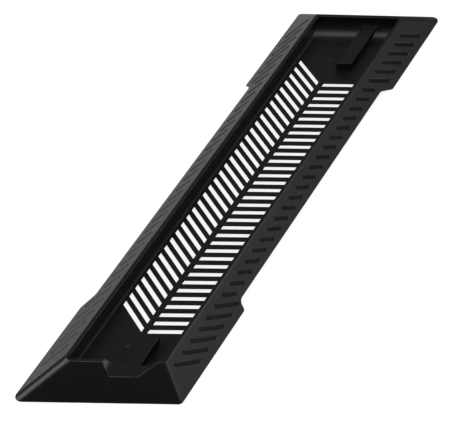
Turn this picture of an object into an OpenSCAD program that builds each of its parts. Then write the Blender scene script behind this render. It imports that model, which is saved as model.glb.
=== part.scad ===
// Upright stand for a slim game console, plan shaped as a parallelogram.
// Units mm, +Z up. The origin is on the table under the middle of the stand.
// X runs across the console slot, Y runs along it, the notched end is at -Y.

/* [Console slot] */
// Clear width of the slot between its two long walls at the rim
slot_w = 40.5; // [39.5:0.5:44]
// Clear length of the slot, measured along one long wall
slot_len = 266; // [258:1:276]
// Angle of both ends of the stand, away from square
end_angle = 29.5; // [24:0.5:33]
// Height of the slot floor above the table
floor_top = 4.8; // [4.4:0.1:6]
// Radius of the cove where the floor runs up into the back wall
cove_r = 10; // [6:0.5:10.5]

/* [Skirts] */
// Height of the rim above the table
rim_h = 16; // [15.4:0.1:18]
// Width of the flat on top of the rim
rim_flat = 1.75; // [1.4:0.05:2.4]
// How far each skirt runs out from the rim to its lower edge
skirt_run = 14.4; // [13.6:0.1:16]
// Gap between the table and the lower edge of the skirts
lift = 0.8; // [0.6:0.1:1]
// Wall thickness of the skirts and of the slot walls
wall = 2; // [1.8:0.1:2.2]
// Radius that softens the four slanted corners
hip_r = 5; // [2:0.2:6]

/* [Air inlets] */
// Height of the raised lower edge between the corner panels
inlet_top = 4.9; // [3.6:0.1:5.4]
// Length of one raised edge, measured at the table
inlet_len = 172.6; // [166:0.2:176]
// How far the right raised edge is moved to the back from the middle of the stand
inlet_right = 19.8; // [18:0.1:21.6]
// How far the left raised edge is moved to the front from the middle of the stand
inlet_left = 21.2; // [18:0.1:21.6]

/* [Vent grille] */
// Number of vents on each side of the spine
vent_count = 34; // [26:1:34]
// Distance from one vent to the next along the stand
vent_pitch = 5.786; // [5.6:0.002:5.82]
// Open width of a vent, measured along the stand
vent_gap = 2.9; // [2.4:0.1:3.4]
// Angle of the vents, swept back from the spine
vent_angle = 30; // [26:1:32]
// Half width of the plain spine between the two rows
vent_in = 0.95; // [0.8:0.05:1.4]
// Distance from the middle of the stand to the outer ends of the vents
vent_out = 17.4; // [16.4:0.1:18]

/* [Grip stripes] */
// Number of recessed stripes on each long skirt
grip_count = 33; // [29:2:33]
// Distance from one stripe to the next
grip_pitch = 7.98; // [7.8:0.01:8.05]
// Width of a stripe
grip_w = 2.3; // [1.6:0.1:2.6]
// Depth of a stripe below the skirt
grip_depth = 0.4; // [0.3:0.05:0.6]

/* [Notch and tongues] */
// Middle of the notch and of both tongues across the slot
key_x = 6.85; // [5:0.05:7]
// Height of the notch floor and of the tongue tops above the table
key_top = 10.6; // [9.6:0.1:11.2]
// Width of the notch floor
notch_w = 12.7; // [11:0.1:13.4]
// Width of a tongue
tongue_w = 7.2; // [6:0.1:8]

/* [Feet] */
// Length of a rubber foot
foot_len = 22; // [16:1:24]
// Width of a rubber foot
foot_w = 7; // [6:0.2:7.6]

/* [Part] */
// Which piece to build

/* [Hidden] */
$fn = 96;
over = 0.5;
half_slot = slot_w / 2;
half_rim = half_slot + rim_flat;
half_base = half_rim + skirt_run;
end_slot = slot_len / 2 * cos(end_angle);
end_rim = end_slot + rim_flat;
end_base = end_rim + skirt_run;
skirt_h = rim_h - lift;
skirt_tilt = atan2(skirt_h, skirt_run);
run_rate = skirt_run / skirt_h;
inset = wall / sin(skirt_tilt);
grille_t = 0.8;
spine_half = 0.9;
spine_low = 1;
plate_low = 1.2;
plate_t = 2;
foot_sink = 0.8;
foot_x = 28.3;
foot_y_near = 105;
foot_y_far = 131;
grip_top_x = half_rim + 3.3;
grip_long_x = half_base - 3.3;
grip_short_x = half_base - 6.5;
grip_angle = 49;
grip_short = 21;

// Block with leaning sides and leaning slanted ends, from z = low up to z = high.
// grow moves its sides and ends outward, level for level.
module skirt_block(grow = 0, low = lift, high = rim_h) {
    x_low = half_base + grow - (low - lift) * run_rate;
    x_high = half_base + grow - (high - lift) * run_rate;
    y_low = end_base + grow - (low - lift) * run_rate;
    y_high = end_base + grow - (high - lift) * run_rate;
    intersection() {
        along_length(420)
            polygon([[-x_low, low], [x_low, low], [x_high, high], [-x_high, high]]);
        across_ends(240)
            polygon([[-y_low, low], [y_low, low], [y_high, high], [-y_high, high]]);
    }
}

// Extrude a section drawn as (across, up) along the stand.
module along_length(length) {
    rotate([90, 0, 0])
        translate([0, 0, -length / 2])
            linear_extrude(length)
                children();
}

// Extrude a section drawn as (along, up) parallel to the slanted ends.
module across_ends(length) {
    rotate([0, 0, end_angle])
        rotate([90, 0, 90])
            translate([0, 0, -length / 2])
                linear_extrude(length)
                    children();
}

// Upright parallelogram block with the slot's plan, grown by a margin.
module plan_block(grow, low, high) {
    intersection() {
        translate([-half_slot - grow, -220, low])
            cube([slot_w + 2 * grow, 440, high - low]);
        rotate([0, 0, end_angle])
            translate([-120, -end_slot - grow, low])
                cube([240, 2 * (end_slot + grow), high - low]);
    }
}

// Sliver that rounds one slanted corner; sx and sy pick the corner.
module hip_sliver(sx, sy) {
    corner_x = sx * half_base;
    corner_y = sy * end_base / cos(end_angle) + sx * half_base * tan(end_angle);
    lean_x = -sx * run_rate;
    lean_y = -run_rate * (sy / cos(end_angle) + sx * tan(end_angle));
    lean = norm([lean_x, lean_y]);
    turn = acos((run_rate * run_rate - sx * sy * sin(end_angle)) / (1 + run_rate * run_rate)) / 2;
    reach = hip_r * tan(turn);
    middle = 0.99 * hip_r / cos(turn);
    touch_x = reach * sin(turn);
    touch_y = reach * cos(turn);
    translate([corner_x, corner_y, lift])
        rotate([0, atan(lean), atan2(lean_y, lean_x)])
            translate([0, 0, -6])
                linear_extrude(skirt_h * norm([lean, 1]) + 12)
                    difference() {
                        polygon([
                            [touch_x, touch_y],
                            [touch_x - cos(turn), touch_y + sin(turn)],
                            [-1.6, 0],
                            [touch_x - cos(turn), -touch_y - sin(turn)],
                            [touch_x, -touch_y]
                        ]);
                        translate([middle, 0])
                            circle(hip_r);
                    }
}

// The slot: drafted long walls, a straight front wall and a coved back wall.
module slot_space() {
    fillet = 1.3;
    foot_half = half_slot - 0.5;
    intersection() {
        along_length(420)
            polygon(concat(
                [for (a = [0 : 18 : 90])
                    [foot_half - fillet * (1 - sin(a)), floor_top + fillet * (1 - cos(a))]],
                [
                    [half_slot, rim_h],
                    [half_slot, rim_h + over],
                    [-half_slot, rim_h + over],
                    [-half_slot, rim_h]
                ],
                [for (a = [90 : -18 : 0])
                    [-foot_half + fillet * (1 - sin(a)), floor_top + fillet * (1 - cos(a))]]
            ));
        across_ends(240)
            union() {
                polygon([
                    [-end_slot + 1.2, floor_top],
                    [end_slot - cove_r, floor_top],
                    [end_slot - cove_r, floor_top + cove_r],
                    [end_slot, floor_top + cove_r],
                    [end_slot, rim_h + over],
                    [-end_slot, rim_h + over],
                    [-end_slot, floor_top + 1.2]
                ]);
                translate([end_slot - cove_r, floor_top + cove_r])
                    intersection() {
                        circle(cove_r);
                        translate([-over, -cove_r])
                            square([cove_r + over, cove_r]);
                    }
            }
    }
}

// Side view of one raised lower edge: an upright step at one end, a gentle one at the other.
module inlet_side() {
    reach = inlet_len / 2;
    polygon([
        [-reach - 1.6, -1],
        [reach + 1.6, -1],
        [reach + 1.6, lift - 0.1],
        [reach + 0.4, lift + 0.2],
        [reach - 0.8, lift + 0.7],
        [reach - 6.8, inlet_top - 0.5],
        [reach - 7.6, inlet_top - 0.2],
        [reach - 8.8, inlet_top],
        [-reach + 3.7, inlet_top],
        [-reach + 2.6, inlet_top - 0.1],
        [-reach + 1.8, inlet_top - 0.4],
        [-reach + 1.1, inlet_top - 0.9],
        [-reach + 0.6, inlet_top - 1.6],
        [-reach + 0.3, inlet_top - 2.4],
        [-reach + 0.1, lift + 1.1],
        [-reach - 0.1, lift + 0.6],
        [-reach - 0.6, lift + 0.2],
        [-reach - 1.4, lift - 0.1]
    ]);
}

// Space cut below the raised lower edge of one long skirt; side is 1 or -1.
module inlet_space(side) {
    rotate([0, 0, side > 0 ? 0 : 180])
        translate([half_slot + wall + 0.6, side > 0 ? inlet_right : inlet_left, 0])
            rotate([90, 0, 90])
                linear_extrude(30)
                    inlet_side();
}

// All vents as one flat drawing.
module vent_drawing() {
    middle = (vent_in + vent_out) / 2;
    first = 90 - (34 - vent_count) / 2 * vent_pitch;
    for (side = [-1, 1], k = [0 : vent_count - 1]) {
        y_mid = first - k * vent_pitch;
        y_in = y_mid - (middle - vent_in) * tan(vent_angle);
        y_out = y_mid + (vent_out - middle) * tan(vent_angle);
        polygon([
            [side * vent_in, y_in - vent_gap / 2],
            [side * vent_out, y_out - vent_gap / 2],
            [side * vent_out, y_out + vent_gap / 2],
            [side * vent_in, y_in + vent_gap / 2]
        ]);
    }
}

// Recessed stripes of the right skirt; the left skirt takes the same, turned half round.
// Their long walls lean outward, so that the tool lets go of them.
module grip_stripes() {
    first = grip_pitch * (grip_count - 1) / 2 + 14.55;
    ends = (grip_count - grip_short) / 2;
    for (k = [0 : grip_count - 1]) {
        long = k < ends || k >= grip_count - ends;
        low_x = long ? grip_long_x : grip_short_x;
        mid_x = (grip_top_x + low_x) / 2;
        reach = (low_x - grip_top_x) / cos(skirt_tilt) / cos(grip_angle);
        mid_y = first - k * grip_pitch - (grip_long_x - low_x) / 2 / cos(skirt_tilt) * tan(grip_angle);
        translate([mid_x, mid_y, lift + (half_base - mid_x) / run_rate])
            rotate([0, skirt_tilt, 0])
                rotate([90, 0, 90 + grip_angle])
                    translate([0, 0, -reach / 2])
                        linear_extrude(reach)
                            polygon([
                                [-grip_w / 2 + 0.3, -grip_depth],
                                [grip_w / 2 - 0.3, -grip_depth],
                                [grip_w / 2 + 0.3, grip_depth],
                                [-grip_w / 2 - 0.3, grip_depth]
                            ]);
    }
}

// Front notch as (across, up): floor width, 45 degree sides; grow adds a margin.
module notch_section(grow = 0) {
    low_half = notch_w / 2 + grow * tan(22.5);
    low = key_top - grow;
    high = rim_h + over;
    translate([key_x, 0])
        polygon([
            [-low_half, low],
            [low_half, low],
            [low_half + high - low, high],
            [-low_half - high + low, high]
        ]);
}

// Part of the front wall that the notch passes through.
module front_zone() {
    rotate([0, 0, end_angle])
        translate([-120, -end_base - 5, 0])
            cube([240, end_base + 5 - end_slot + 3, 30]);
}

// Tongue from the front or back wall toward the middle, tip cut parallel to the ends.
module tongue(from, to) {
    intersection() {
        translate([key_x - tongue_w / 2, -220, floor_top - 0.4])
            cube([tongue_w, 440, key_top - floor_top + 0.4]);
        rotate([0, 0, end_angle])
            translate([-120, from, 0])
                cube([240, to - from, 30]);
    }
}

// Small domed pip on the slot floor.
module pip() {
    rise = 0.3;
    half = 1.1;
    ball = (half * half + rise * rise) / (2 * rise);
    translate([0, 0, -0.3])
        cylinder(h = 0.35, r = half);
    intersection() {
        cylinder(h = 1, r = half);
        translate([0, 0, rise - ball])
            sphere(ball);
    }
}

// Plates in the two side channels that carry the feet.
module foot_plates() {
    for (turn = [0, 180], y = [-foot_y_near, foot_y_far])
        rotate([0, 0, turn])
            translate([half_slot + 1, y - foot_len / 2 - 4, plate_low])
                cube([half_base - half_slot, foot_len + 8, plate_t]);
}

// Stiffening webs in the side channels and in the end channels.
module webs() {
    for (turn = [0, 180]) {
        rotate([0, 0, turn])
            for (y = [-75 : 36 : 105])
                translate([half_slot + 1, y, plate_low])
                    cube([half_base - half_slot, 1.6, rim_h - 3]);
        rotate([0, 0, turn])
            for (x = [-26, -12, 24])
                translate([x, -end_base / cos(end_angle) - 20, plate_low])
                    cube([1.6, end_base / cos(end_angle) - end_slot / cos(end_angle) + 20 + x * tan(end_angle), rim_h - 3]);
    }
}

module foot_shape(length, width, height) {
    linear_extrude(height)
        union() {
            square([width, length - width], center = true);
            translate([0, (length - width) / 2])
                circle(width / 2);
            translate([0, -(length - width) / 2])
                circle(width / 2);
        }
}

module foot_at(x, y, grow = 0) {
    translate([x, y, 0])
        foot_shape(foot_len + grow, foot_w + grow, plate_low + foot_sink);
}

// One-piece moulding: skirts, slot, grille floor, notch, tongues and hidden webs.
module stand() {
    color("#26262a")
        difference() {
            union() {
                difference() {
                    skirt_block();
                    difference() {
                        skirt_block(-inset, lift - 3, rim_h - 2);
                        plan_block(wall, floor_top - 2, rim_h);
                        intersection() {
                            along_length(420)
                                notch_section(wall);
                            front_zone();
                        }
                        foot_plates();
                        webs();
                        translate([-spine_half, -106, spine_low])
                            cube([2 * spine_half, 202, 3.5]);
                    }
                    slot_space();
                    intersection() {
                        along_length(420)
                            notch_section();
                        front_zone();
                    }
                }
                tongue(-end_slot - 0.4, -99.4);
                tongue(84.9, end_slot + 0.4);
                for (y = [-117.9, 104.4])
                    translate([-2.35, y, floor_top])
                        pip();
            }
            for (sx = [-1, 1], sy = [-1, 1])
                hip_sliver(sx, sy);
            inlet_space(1);
            inlet_space(-1);
            for (turn = [0, 180])
                rotate([0, 0, turn])
                    grip_stripes();
            translate([0, 0, floor_top - 4])
                linear_extrude(5)
                    vent_drawing();
            for (side = [-1, 1])
                translate([side > 0 ? spine_half : -18.6, -108.5, floor_top - 3])
                    cube([18.6 - spine_half, 206.5, 3 - grille_t]);
            for (turn = [0, 180], y = [-foot_y_near, foot_y_far])
                rotate([0, 0, turn])
                    foot_at(foot_x, y);
        }
}

module foot_front_left() {
    color("#1b1b1b")
        foot_at(-foot_x, -foot_y_far);
}

module foot_front_right() {
    color("#1b1b1b")
        foot_at(foot_x, -foot_y_near);
}

module foot_back_left() {
    color("#1b1b1b")
        foot_at(-foot_x, foot_y_near);
}

module foot_back_right() {
    color("#1b1b1b")
        foot_at(foot_x, foot_y_far);
}

stand();
foot_front_left();
foot_front_right();
foot_back_left();
foot_back_right();
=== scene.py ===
import math

import bmesh
import bpy
from mathutils import Matrix, Vector


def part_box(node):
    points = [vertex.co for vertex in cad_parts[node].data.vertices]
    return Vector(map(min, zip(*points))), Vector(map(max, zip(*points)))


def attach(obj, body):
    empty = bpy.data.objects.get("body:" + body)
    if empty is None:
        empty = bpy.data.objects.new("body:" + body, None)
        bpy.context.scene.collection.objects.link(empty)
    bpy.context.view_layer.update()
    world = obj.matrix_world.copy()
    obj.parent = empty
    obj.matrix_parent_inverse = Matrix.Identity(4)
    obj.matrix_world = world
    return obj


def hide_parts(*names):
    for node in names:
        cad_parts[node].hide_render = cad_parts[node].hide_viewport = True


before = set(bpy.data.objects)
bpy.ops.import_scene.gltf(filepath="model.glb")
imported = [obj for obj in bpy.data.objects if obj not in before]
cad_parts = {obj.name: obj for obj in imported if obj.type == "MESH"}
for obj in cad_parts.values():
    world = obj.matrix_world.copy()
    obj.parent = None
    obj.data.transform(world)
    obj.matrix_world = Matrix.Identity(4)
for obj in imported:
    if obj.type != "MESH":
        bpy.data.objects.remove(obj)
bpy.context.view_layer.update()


# The stand: one injection moulding in black ABS. Skirts, slot, grille, notch and
# tongues come out of a single tool, which leaves every outer edge slightly rounded.
# Its faces carry a fine spark-eroded grain, the stripe floors are smoother.
ABS_BLACK = (0.0052, 0.0052, 0.0055)
# The lighter grey on the rounded edges and the pips is partly wear and partly a painted highlight
# along those edges.
ABS_SCUFF_AND_HIGHLIGHT = (0.03, 0.03, 0.03)
HOUSE_DUST = (0.2, 0.195, 0.185)
ABS_IOR = 1.5
ABS_GRAIN_CELL = 0.00045
ABS_GRAIN_DEPTH = 0.000012
ABS_GRAIN_STRENGTH = 0.7
ABS_ROUGHNESS = 0.36
ABS_ROUGHNESS_SPREAD = 0.12
ABS_EDGE_COVER = 0.8
ABS_DUST_COVER = 0.022
WORN_ROUGHER = -0.16
POLISH_ROUGHER = -0.14
CREASE_ROUGHER = 0.35


def new_group(name, inputs, outputs):
    group = bpy.data.node_groups.new(name, "ShaderNodeTree")
    for label, value in inputs.items():
        socket = group.interface.new_socket(label, in_out="INPUT", socket_type="NodeSocketFloat")
        socket.default_value = value
    for label in outputs:
        group.interface.new_socket(label, in_out="OUTPUT", socket_type="NodeSocketFloat")
    return group, group.nodes.new("NodeGroupInput"), group.nodes.new("NodeGroupOutput")


def feed(tree, socket, value):
    if isinstance(value, bpy.types.NodeSocket):
        tree.links.new(value, socket)
    else:
        socket.default_value = value


def add_math(tree, operation, *values):
    node = tree.nodes.new("ShaderNodeMath")
    node.operation = operation
    for socket, value in zip(node.inputs, values):
        feed(tree, socket, value)
    return node.outputs[0]


def add_range(tree, value, between, gives):
    node = tree.nodes.new("ShaderNodeMapRange")
    node.interpolation_type = "SMOOTHSTEP"
    for label, number in zip(("From Min", "From Max", "To Min", "To Max"), (*between, *gives)):
        node.inputs[label].default_value = number
    tree.links.new(value, node.inputs["Value"])
    return node.outputs[0]


def add_noise(tree, scale, detail, roughness):
    place = tree.nodes.new("ShaderNodeTexCoord")
    noise = tree.nodes.new("ShaderNodeTexNoise")
    tree.links.new(place.outputs["Object"], noise.inputs["Vector"])
    feed(tree, noise.inputs["Scale"], scale)
    noise.inputs["Detail"].default_value = detail
    noise.inputs["Roughness"].default_value = roughness
    return noise.outputs["Fac"]


def add_group(tree, group, **values):
    node = tree.nodes.new("ShaderNodeGroup")
    node.node_tree = group
    for label, value in values.items():
        feed(tree, node.inputs[label], value)
    return node


def add_attribute(tree, name):
    node = tree.nodes.new("ShaderNodeAttribute")
    node.attribute_name = name
    return node.outputs["Fac"]


def add_blend(tree, amount, first, second):
    node = tree.nodes.new("ShaderNodeMix")
    node.data_type = "RGBA"
    tree.links.new(amount, node.inputs["Factor"])
    for label, value in (("A", first), ("B", second)):
        is_socket = isinstance(value, bpy.types.NodeSocket)
        feed(tree, node.inputs[label], value if is_socket else (*value, 1))
    return node.outputs["Result"]


def add_bump(tree, shader, height, distance, strength):
    bump = tree.nodes.new("ShaderNodeBump")
    bump.inputs["Distance"].default_value = distance
    bump.inputs["Strength"].default_value = strength
    tree.links.new(height, bump.inputs["Height"])
    tree.links.new(bump.outputs["Normal"], shader.inputs["Normal"])


# Cell is the width of one grain in metres, Spread how far the roughness wanders.
grain, into, out = new_group(
    "tool_grain", {"Cell": 0.0004, "Roughness": 0.4, "Spread": 0.1}, ("Height", "Roughness"))
cells_per_metre = add_math(grain, "DIVIDE", 1.0, into.outputs["Cell"])
grain.links.new(add_noise(grain, cells_per_metre, detail=2.5, roughness=0.6), out.inputs["Height"])
flow = add_math(grain, "SUBTRACT", add_noise(grain, 60.0, detail=5.0, roughness=0.65), 0.5)
wandering = add_math(grain, "MULTIPLY_ADD", flow, into.outputs["Spread"], into.outputs["Roughness"])
grain.links.new(wandering, out.inputs["Roughness"])

# A patchy amount over a mask, for a lighter colour: on the rubber feet it is scuffing, on the
# stand's rounded edges and pips it is partly wear and partly a painted highlight.
scuff_and_highlight, into, out = new_group("edge_wear", {"Mask": 0.0, "Cover": 0.7}, ("Amount",))
patches = add_noise(scuff_and_highlight, 220.0, detail=4.0, roughness=0.6)
patchy = add_range(scuff_and_highlight, patches, between=(0.3, 0.62), gives=(0.35, 1.0))
patchy_cover = add_math(scuff_and_highlight, "MULTIPLY", patchy, into.outputs["Cover"])
scuff_and_highlight.links.new(add_math(scuff_and_highlight, "MULTIPLY", patchy_cover, into.outputs["Mask"]), out.inputs["Amount"])

dust, into, out = new_group("settled_dust", {"Cover": 0.02}, ("Amount",))
surface = dust.nodes.new("ShaderNodeNewGeometry")
slope = dust.nodes.new("ShaderNodeSeparateXYZ")
dust.links.new(surface.outputs["Normal"], slope.inputs[0])
lying = add_range(dust, slope.outputs["Z"], between=(0.2, 1.0), gives=(0.0, 1.0))
specks = add_noise(dust, 900.0, detail=6.0, roughness=0.75)
speckled = add_range(dust, specks, between=(0.42, 0.75), gives=(0.2, 1.0))
settled = add_math(dust, "MULTIPLY", lying, speckled)
dust.links.new(add_math(dust, "MULTIPLY", settled, into.outputs["Cover"]), out.inputs["Amount"])

black_abs = bpy.data.materials.new("black_abs")
black_abs.use_nodes = True
tree = black_abs.node_tree
shader = tree.nodes["Principled BSDF"]
shader.inputs["IOR"].default_value = ABS_IOR
skin = add_group(
    tree, grain, Cell=ABS_GRAIN_CELL, Roughness=ABS_ROUGHNESS, Spread=ABS_ROUGHNESS_SPREAD)
edges = add_group(
    tree, scuff_and_highlight, Mask=add_attribute(tree, "edge_wear"), Cover=ABS_EDGE_COVER).outputs["Amount"]
film = add_group(tree, dust, Cover=ABS_DUST_COVER).outputs["Amount"]
# The rounded edges and the pips blend towards a lighter grey: a painted highlight along the edges,
# besides some wear.
plastic = add_blend(tree, edges, ABS_BLACK, ABS_SCUFF_AND_HIGHLIGHT)
tree.links.new(add_blend(tree, film, plastic, HOUSE_DUST), shader.inputs["Base Color"])
matt = add_math(tree, "MULTIPLY_ADD", edges, WORN_ROUGHER, skin.outputs["Roughness"])
matt = add_math(tree, "MULTIPLY_ADD", add_attribute(tree, "polish"), POLISH_ROUGHER, matt)
matt = add_math(tree, "MULTIPLY_ADD", add_attribute(tree, "crease"), CREASE_ROUGHER, matt)
tree.links.new(matt, shader.inputs["Roughness"])
add_bump(tree, shader, skin.outputs["Height"], ABS_GRAIN_DEPTH, ABS_GRAIN_STRENGTH)

# Sizes and places on the moulding, in metres.
RIM_TOP = 0.016
FLOOR_TOP = 0.0048
SLANT = math.radians(29.5)
HALF_SLOT_LENGTH = 0.133
COVE = 0.01
COVE_START = HALF_SLOT_LENGTH * math.cos(SLANT) - COVE
FILLET = 0.0013
FILLET_START = 0.01845
PIPS = (Vector((-0.00235, -0.1179)), Vector((-0.00235, 0.1044)))
PIP_RADIUS = 0.0011
PIP_FACE = 2e-6
SKIRT_OUT = Vector((0.7259, 0, 0.6878))
SKIRT_TOP = Vector((0.022, 0, RIM_TOP))
STRIPE_SHALLOW, STRIPE_DEEP = 0.0002, 0.0006
END_OUT = Vector((-math.sin(SLANT), math.cos(SLANT), 0))

# The rounding of the edges: its widest offset, and the share of it that each kind gets.
# A band below the rim keeps the offset of the rim's edges out of the large skirt faces.
WIDEST = 0.0004
ROUND_SEGMENTS = 3
RIM_OUTER, RIM_INNER, PLAIN, NARROW, VENT = 1.0, 0.7, 0.62, 0.45, 0.2
TAPER = 0.004
BAND = 0.0145
SHARP = math.radians(25)
FLAT = math.radians(0.5)
LEVEL = 0.99
SKIRT_LEAST, SKIRT_MOST = 0.3, 0.9
RIM_SKIRT_LEAST, RIM_SKIRT_MOST = 0.5, 0.8
LOOKS_DOWN = -0.2
SMALLEST_FACE = 3e-8
MERGE = 1e-5
NEAR = 0.0001
SAME_PLANE = 0.9995
SAME_CURVE = math.cos(math.radians(8))


def is_skirt_across_band(face):
    heights = [vertex.co.z for vertex in face.verts]
    outward = face.normal.x * face.calc_center_median().x > 0
    return (SKIRT_LEAST < face.normal.z < SKIRT_MOST and min(heights) < BAND < max(heights)
            and (outward or abs(face.normal.y) > SKIRT_LEAST))


shell = bmesh.new()
shell.from_mesh(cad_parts["stand"].data)
bmesh.ops.remove_doubles(shell, verts=shell.verts, dist=MERGE)
skirts = [face for face in shell.faces if is_skirt_across_band(face)]
around = list({edge for face in skirts for edge in face.edges})
around += list({vertex for face in skirts for vertex in face.verts})
cut = bmesh.ops.bisect_plane(
    shell, geom=skirts + around, dist=1e-7, plane_co=(0, 0, BAND), plane_no=(0, 0, 1))
for edge in cut["geom_cut"]:
    if isinstance(edge, bmesh.types.BMEdge):
        edge.seam = True
bmesh.ops.dissolve_limit(
    shell, angle_limit=FLAT, verts=shell.verts, edges=shell.edges, delimit={"SEAM"})
weight = shell.edges.layers.float.new("bevel_weight_edge")
outer_edges = []
for edge in shell.edges:
    edge.seam = False
    if edge.calc_face_angle() < SHARP:
        continue
    edge.smooth = False
    lower, upper = sorted(face.normal.z for face in edge.link_faces)
    smallest = min(face.calc_area() for face in edge.link_faces)
    if not edge.is_convex or lower <= LOOKS_DOWN or smallest <= SMALLEST_FACE:
        continue
    share = PLAIN
    if upper > LEVEL and edge.verts[0].co.z > RIM_TOP - NEAR:
        share = RIM_OUTER if RIM_SKIRT_LEAST < lower < RIM_SKIRT_MOST else RIM_INNER
    if max(vertex.co.z for vertex in edge.verts) < FLOOR_TOP + NEAR:
        share = VENT
    outer_edges.append((edge, share))
for edge, share in outer_edges:
    pieces = [edge]
    if edge.calc_length() > 3 * TAPER:
        for end in list(edge.verts):
            longest = max(pieces, key=lambda piece: piece.calc_length())
            near_end = bmesh.utils.edge_split(longest, end, TAPER / longest.calc_length())[0]
            pieces.append(near_end)
    longest = max(pieces, key=lambda piece: piece.calc_length())
    for piece in pieces:
        piece.smooth = True
        whole = piece is longest and len(pieces) > 1
        piece[weight] = share if whole else min(share, NARROW)
for face in shell.faces:
    face.smooth = True
mesh = bpy.data.meshes.new("console_stand")
shell.to_mesh(mesh)
shell.free()

# The second slot marks the faces that the rounding makes, and goes again below.
mesh.materials.append(black_abs)
mesh.materials.append(black_abs)
stand = bpy.data.objects.new("console_stand", mesh)
bpy.context.scene.collection.objects.link(stand)
rounding = stand.modifiers.new("rounding", "BEVEL")
rounding.limit_method = "WEIGHT"
rounding.offset_type = "OFFSET"
rounding.width = WIDEST
rounding.segments = ROUND_SEGMENTS
rounding.use_clamp_overlap = False
rounding.material = 1
levelling = stand.modifiers.new("levelling", "WEIGHTED_NORMAL")
levelling.mode = "FACE_AREA"
levelling.keep_sharp = True
mesh = bpy.data.meshes.new_from_object(
    stand.evaluated_get(bpy.context.evaluated_depsgraph_get()))
stand.modifiers.clear()
stand.data = mesh
mesh.name = "console_stand"
low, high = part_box("stand")
for vertex in mesh.vertices:
    vertex.co = [min(max(vertex.co[axis], low[axis]), high[axis]) for axis in range(3)]


def cove_normal(place):
    to_axis = Vector((0, 0, COVE + FLOOR_TOP - place.z))
    return (to_axis - END_OUT * (place.dot(END_OUT) - COVE_START)).normalized()


# Masks for the material: a lighter colour on the rounded edges and the pips, partly wear and partly
# a painted highlight, polish on the stripe floors, crease along the foot of the slot walls. The
# cove gets the normals of its curve.
scuff_and_highlight_mask = mesh.attributes.new("edge_wear", "FLOAT", "POINT")
polished = mesh.attributes.new("polish", "FLOAT", "FACE")
creased = mesh.attributes.new("crease", "FLOAT", "FACE")
only_round = [1.0] * len(mesh.vertices)
normals = [corner.vector.copy() for corner in mesh.corner_normals]
for polygon in mesh.polygons:
    center = polygon.center
    facing = Vector((abs(polygon.normal.x), 0, polygon.normal.z))
    depth = SKIRT_OUT.dot(SKIRT_TOP - Vector((abs(center.x), 0, center.z)))
    if polygon.material_index == 0:
        for index in polygon.vertices:
            only_round[index] = 0.0
        if facing.dot(SKIRT_OUT) > SAME_PLANE and STRIPE_SHALLOW < depth < STRIPE_DEEP:
            polished.data[polygon.index].value = 1.0
    # The pips get the lighter edge colour too: a painted highlight on the pips.
    on_pip = any((center.xy - pip).length < PIP_RADIUS for pip in PIPS)
    if on_pip and polygon.area < PIP_FACE:
        for index in polygon.vertices:
            only_round[index] = 1.0
    rise = center.z - FLOOR_TOP
    if abs(center.x) > FILLET_START and 0 < rise < FILLET:
        creased.data[polygon.index].value = 1.0
    in_cove = 0 < center.dot(END_OUT) - COVE_START < COVE and 0 < rise < COVE
    if in_cove and cove_normal(center).dot(polygon.normal) > SAME_CURVE:
        for loop in polygon.loop_indices:
            normals[loop] = cove_normal(mesh.vertices[mesh.loops[loop].vertex_index].co)
    polygon.material_index = 0
scuff_and_highlight_mask.data.foreach_set("value", only_round)
mesh.materials.pop(index=1)
mesh.normals_split_custom_set(normals)
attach(stand, "root")
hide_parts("stand")


# The four feet: soft black rubber pads with round ends and a ribbed sole, moulded
# apart from the stand and pressed into pockets under its corner panels.
RUBBER_BLACK = (0.014, 0.014, 0.0135)
RUBBER_SCUFFED = (0.06, 0.058, 0.055)
RUBBER_IOR = 1.45
RUBBER_GRAIN_CELL = 0.0003
RUBBER_GRAIN_DEPTH = 0.00002
RUBBER_GRAIN_STRENGTH = 0.8
RUBBER_ROUGHNESS = 0.66
RUBBER_ROUGHNESS_SPREAD = 0.2
RUBBER_SCUFF_COVER = 0.8
RUBBER_DUST_COVER = 0.05
SCUFF_ROUGHER = 0.12

foot_rubber = bpy.data.materials.new("foot_rubber")
foot_rubber.use_nodes = True
tree = foot_rubber.node_tree
shader = tree.nodes["Principled BSDF"]
shader.inputs["IOR"].default_value = RUBBER_IOR
place = tree.nodes.new("ShaderNodeTexCoord")
height = tree.nodes.new("ShaderNodeSeparateXYZ")
tree.links.new(place.outputs["Object"], height.inputs[0])
skin = add_group(
    tree, grain, Cell=RUBBER_GRAIN_CELL, Roughness=RUBBER_ROUGHNESS, Spread=RUBBER_ROUGHNESS_SPREAD)
crowns = add_range(tree, height.outputs["Z"], between=(0.00002, 0.00022), gives=(1.0, 0.0))
scuffed = add_group(tree, scuff_and_highlight, Mask=crowns, Cover=RUBBER_SCUFF_COVER).outputs["Amount"]
film = add_group(tree, dust, Cover=RUBBER_DUST_COVER).outputs["Amount"]
rubber = add_blend(tree, scuffed, RUBBER_BLACK, RUBBER_SCUFFED)
tree.links.new(add_blend(tree, film, rubber, HOUSE_DUST), shader.inputs["Base Color"])
matt = add_math(tree, "MULTIPLY_ADD", scuffed, SCUFF_ROUGHER, skin.outputs["Roughness"])
tree.links.new(matt, shader.inputs["Roughness"])
add_bump(tree, shader, skin.outputs["Height"], RUBBER_GRAIN_DEPTH, RUBBER_GRAIN_STRENGTH)

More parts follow.
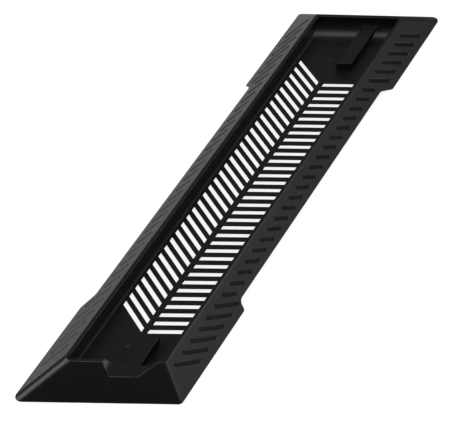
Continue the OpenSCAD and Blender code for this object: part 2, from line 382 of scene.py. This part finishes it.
# A row of the pad is how far it stands in from the outline, and its height. The rib's
# section runs across it as side and height, and its rows along it as place and share.
SOLE = 0.00025
RIB_ROOT = 0.00036
RIB_PITCH = 0.0017
RIB_COUNT = 9
ROUND_STEPS = 14
PAD_ROWS = (
    (0.0009, SOLE), (0.00055, SOLE), (0.00036, 0.00028), (0.00017, 0.00039), (0.00004, 0.00058),
    (0.0, 0.0008), (0.0, 0.0012), (0.00003, 0.0018), (0.0001, 0.00194), (0.00025, 0.002))
RIB_SECTION = (
    (-0.00036, RIB_ROOT), (-0.00036, 0.0002), (-0.0003, 0.00009), (-0.00017, 0.00002), (0.0, 0.0),
    (0.00017, 0.00002), (0.0003, 0.00009), (0.00036, 0.0002), (0.00036, RIB_ROOT))
RIB_ROWS = (
    (-0.0027, 0.55), (-0.00262, 0.82), (-0.00245, 1.0),
    (0.00245, 1.0), (0.00262, 0.82), (0.0027, 0.55))


def closed_skin(name, rings):
    form = bmesh.new()
    rows = [[form.verts.new(point) for point in ring] for ring in rings]
    for first, second in zip(rows, rows[1:]):
        for index in range(len(first)):
            after = (index + 1) % len(first)
            form.faces.new((first[index], first[after], second[after], second[index]))
    form.faces.new(rows[0])
    form.faces.new(rows[-1])
    bmesh.ops.recalc_face_normals(form, faces=form.faces)
    for face in form.faces:
        face.smooth = True
    result = bpy.data.meshes.new(name)
    form.to_mesh(result)
    form.free()
    return result


rib_rings = [
    [(along, side * share, RIB_ROOT + (level - RIB_ROOT) * share) for side, level in RIB_SECTION]
    for along, share in RIB_ROWS]
rib = bpy.data.objects.new("rib", closed_skin("rib", rib_rings))

sole_ribs = bpy.data.node_groups.new("sole_ribs", "GeometryNodeTree")
kinds = {"Pad": "Geometry", "Count": "Int", "First": "Vector", "Pitch": "Float",
         "Rib": "Object", "Rubber": "Material"}
ribs_in = {}
for label, kind in kinds.items():
    socket = sole_ribs.interface.new_socket(
        label, in_out="INPUT", socket_type="NodeSocket" + kind)
    ribs_in[label] = socket.identifier
sole_ribs.interface.new_socket("Pad", in_out="OUTPUT", socket_type="NodeSocketGeometry")
into = sole_ribs.nodes.new("NodeGroupInput")
out = sole_ribs.nodes.new("NodeGroupOutput")
step = sole_ribs.nodes.new("ShaderNodeCombineXYZ")
line = sole_ribs.nodes.new("GeometryNodeMeshLine")
shape = sole_ribs.nodes.new("GeometryNodeObjectInfo")
repeat = sole_ribs.nodes.new("GeometryNodeInstanceOnPoints")
joined = sole_ribs.nodes.new("GeometryNodeJoinGeometry")
solid = sole_ribs.nodes.new("GeometryNodeRealizeInstances")
painted = sole_ribs.nodes.new("GeometryNodeSetMaterial")
for source, target in (
        (into.outputs["Pitch"], step.inputs["Y"]),
        (into.outputs["Count"], line.inputs["Count"]),
        (into.outputs["First"], line.inputs["Start Location"]),
        (step.outputs["Vector"], line.inputs["Offset"]),
        (into.outputs["Rib"], shape.inputs["Object"]),
        (line.outputs["Mesh"], repeat.inputs["Points"]),
        (shape.outputs["Geometry"], repeat.inputs["Instance"]),
        (repeat.outputs["Instances"], joined.inputs["Geometry"]),
        (into.outputs["Pad"], joined.inputs["Geometry"]),
        (joined.outputs["Geometry"], solid.inputs["Geometry"]),
        (solid.outputs["Geometry"], painted.inputs["Geometry"]),
        (into.outputs["Rubber"], painted.inputs["Material"]),
        (painted.outputs["Geometry"], out.inputs["Pad"])):
    sole_ribs.links.new(source, target)

for corner in ("front_left", "front_right", "back_left", "back_right"):
    low, high = (Vector(end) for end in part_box("foot_" + corner))
    middle = (low + high) / 2
    radius = (high.x - low.x) / 2
    straight = (high.y - low.y) / 2 - radius
    rings = []
    for inset, level in PAD_ROWS:
        ring = []
        for side in (1, -1):
            for index in range(ROUND_STEPS + 1):
                turn = math.pi * index / ROUND_STEPS
                across = side * (radius - inset) * math.cos(turn)
                along = side * (straight + (radius - inset) * math.sin(turn))
                ring.append((middle.x + across, middle.y + along, low.z + level))
        rings.append(ring)
    pad = bpy.data.objects.new("rubber_pad_" + corner, closed_skin("rubber_pad_" + corner, rings))
    bpy.context.scene.collection.objects.link(pad)
    tread = pad.modifiers.new("tread", "NODES")
    tread.node_group = sole_ribs
    tread[ribs_in["Count"]] = RIB_COUNT
    tread[ribs_in["First"]] = (middle.x, middle.y - RIB_PITCH * (RIB_COUNT - 1) / 2, low.z)
    tread[ribs_in["Pitch"]] = RIB_PITCH
    tread[ribs_in["Rib"]] = rib
    tread[ribs_in["Rubber"]] = foot_rubber
    mesh = bpy.data.meshes.new_from_object(
        pad.evaluated_get(bpy.context.evaluated_depsgraph_get()))
    pad.modifiers.clear()
    pad.data = mesh
    mesh.name = pad.name
    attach(pad, "root")
    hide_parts("foot_" + corner)
bpy.data.objects.remove(rib)


# The stage: a wide pale matt floor. It looks white to the camera and in reflections, but
# not under the stand, where the real floor is in shadow.
HALF_FLOOR = 3
FLOOR_GREY = (0.4, 0.4, 0.4, 1)
FLOOR_ROUGHNESS = 0.9
FLOOR_SEEN = 0.86
FLOOR_REFLECTED = 0.5
UNDER_STAND, BESIDE_STAND = 0.027, 0.036

floor_mesh = bpy.data.meshes.new("floor")
floor_corners = [(side_x * HALF_FLOOR, side_y * HALF_FLOOR, 0)
                 for side_x, side_y in ((-1, -1), (1, -1), (1, 1), (-1, 1))]
floor_mesh.from_pydata(floor_corners, [], [(0, 1, 2, 3)])
floor = bpy.data.objects.new("floor", floor_mesh)
bpy.context.scene.collection.objects.link(floor)
paper = bpy.data.materials.new("floor_paper")
paper.use_nodes = True
tree = paper.node_tree
shader = tree.nodes["Principled BSDF"]
shader.inputs["Base Color"].default_value = FLOOR_GREY
shader.inputs["Roughness"].default_value = FLOOR_ROUGHNESS
shader.inputs["Emission Color"].default_value = (1, 1, 1, 1)
path = tree.nodes.new("ShaderNodeLightPath")
seen = add_math(tree, "MULTIPLY", path.outputs["Is Camera Ray"], FLOOR_SEEN)
place = tree.nodes.new("ShaderNodeTexCoord")
across = tree.nodes.new("ShaderNodeSeparateXYZ")
tree.links.new(place.outputs["Object"], across.inputs[0])
open_floor = add_range(
    tree, add_math(tree, "ABSOLUTE", across.outputs["X"]),
    between=(UNDER_STAND, BESIDE_STAND), gives=(0.0, FLOOR_REFLECTED))
glow = add_math(tree, "MULTIPLY_ADD", path.outputs["Is Glossy Ray"], open_floor, seen)
tree.links.new(glow, shader.inputs["Emission Strength"])
floor_mesh.materials.append(paper)


# The light: three soft boxes of a small product studio, above the front, the left and
# the right of the stand, and a dim strip of sky behind it.
LAMP_DISTANCE = 1.6


def soft_box(name, toward, width, height, radiance):
    lamp = bpy.data.lights.new(name, "AREA")
    lamp.shape = "RECTANGLE"
    lamp.size = width
    lamp.size_y = height
    lamp.energy = radiance * math.pi * width * height
    light = bpy.data.objects.new(name, lamp)
    direction = Vector(toward).normalized()
    light.location = direction * LAMP_DISTANCE
    light.rotation_euler = direction.to_track_quat("Z", "Y").to_euler()
    light.visible_camera = False
    bpy.context.scene.collection.objects.link(light)


soft_box("light_top", toward=(0.24, -0.25, 0.935), width=0.5, height=0.7, radiance=3.5)
soft_box("light_left", toward=(-0.51, -0.44, 0.74), width=1.0, height=0.8, radiance=4.2)
soft_box("light_right", toward=(0.79, 0.3, 0.53), width=1.1, height=0.56, radiance=3.3)

SKY_STRIP = 0.26
SKY_ELSEWHERE = 0.03

world = bpy.data.worlds.new("studio")
bpy.context.scene.world = world
world.use_nodes = True
tree = world.node_tree
path = tree.nodes.new("ShaderNodeLightPath")
place = tree.nodes.new("ShaderNodeTexCoord")
toward = tree.nodes.new("ShaderNodeSeparateXYZ")
tree.links.new(place.outputs["Generated"], toward.inputs[0])
behind = add_range(tree, toward.outputs["Y"], between=(-0.15, 0.35), gives=(0.0, 1.0))
below_top = add_range(tree, toward.outputs["Z"], between=(0.6, 0.88), gives=(1.0, 0.3))
above_table = add_range(tree, toward.outputs["Z"], between=(0.2, 0.5), gives=(0.1, 1.0))
strip = add_math(tree, "MULTIPLY", add_math(tree, "MULTIPLY", behind, below_top), above_table)
sky = add_math(tree, "MULTIPLY_ADD", strip, SKY_STRIP, SKY_ELSEWHERE)
backdrop = tree.nodes["Background"]
backdrop.inputs["Color"].default_value = (1, 1, 1, 1)
white_or_sky = add_math(tree, "MAXIMUM", sky, path.outputs["Is Camera Ray"])
tree.links.new(white_or_sky, backdrop.inputs["Strength"])


# The camera: high above the front right corner, with a long lens, turned so that the
# stand runs up the frame from the lower left to the upper right.
CAMERA_PLACE = Vector((0.23034, -0.48699, 0.70725))
CAMERA_RIGHT = Vector((0.8711146, 0.4896302, 0.0377053))
CAMERA_UP = Vector((-0.4131184, 0.6891456, 0.5953248))
CAMERA_LENS = 132.0
CAMERA_SENSOR = 36
NEAREST, FARTHEST = 0.05, 20

camera = bpy.data.objects.new("camera", bpy.data.cameras.new("camera"))
bpy.context.scene.collection.objects.link(camera)
camera.data.sensor_width = CAMERA_SENSOR
camera.data.lens = CAMERA_LENS
axes = Matrix((CAMERA_RIGHT, CAMERA_UP, CAMERA_RIGHT.cross(CAMERA_UP))).transposed()
camera.matrix_world = Matrix.Translation(CAMERA_PLACE) @ axes.to_4x4()
camera.data.clip_start = NEAREST
camera.data.clip_end = FARTHEST
bpy.context.scene.camera = camera
bpy.context.scene.view_settings.view_transform = "Standard"
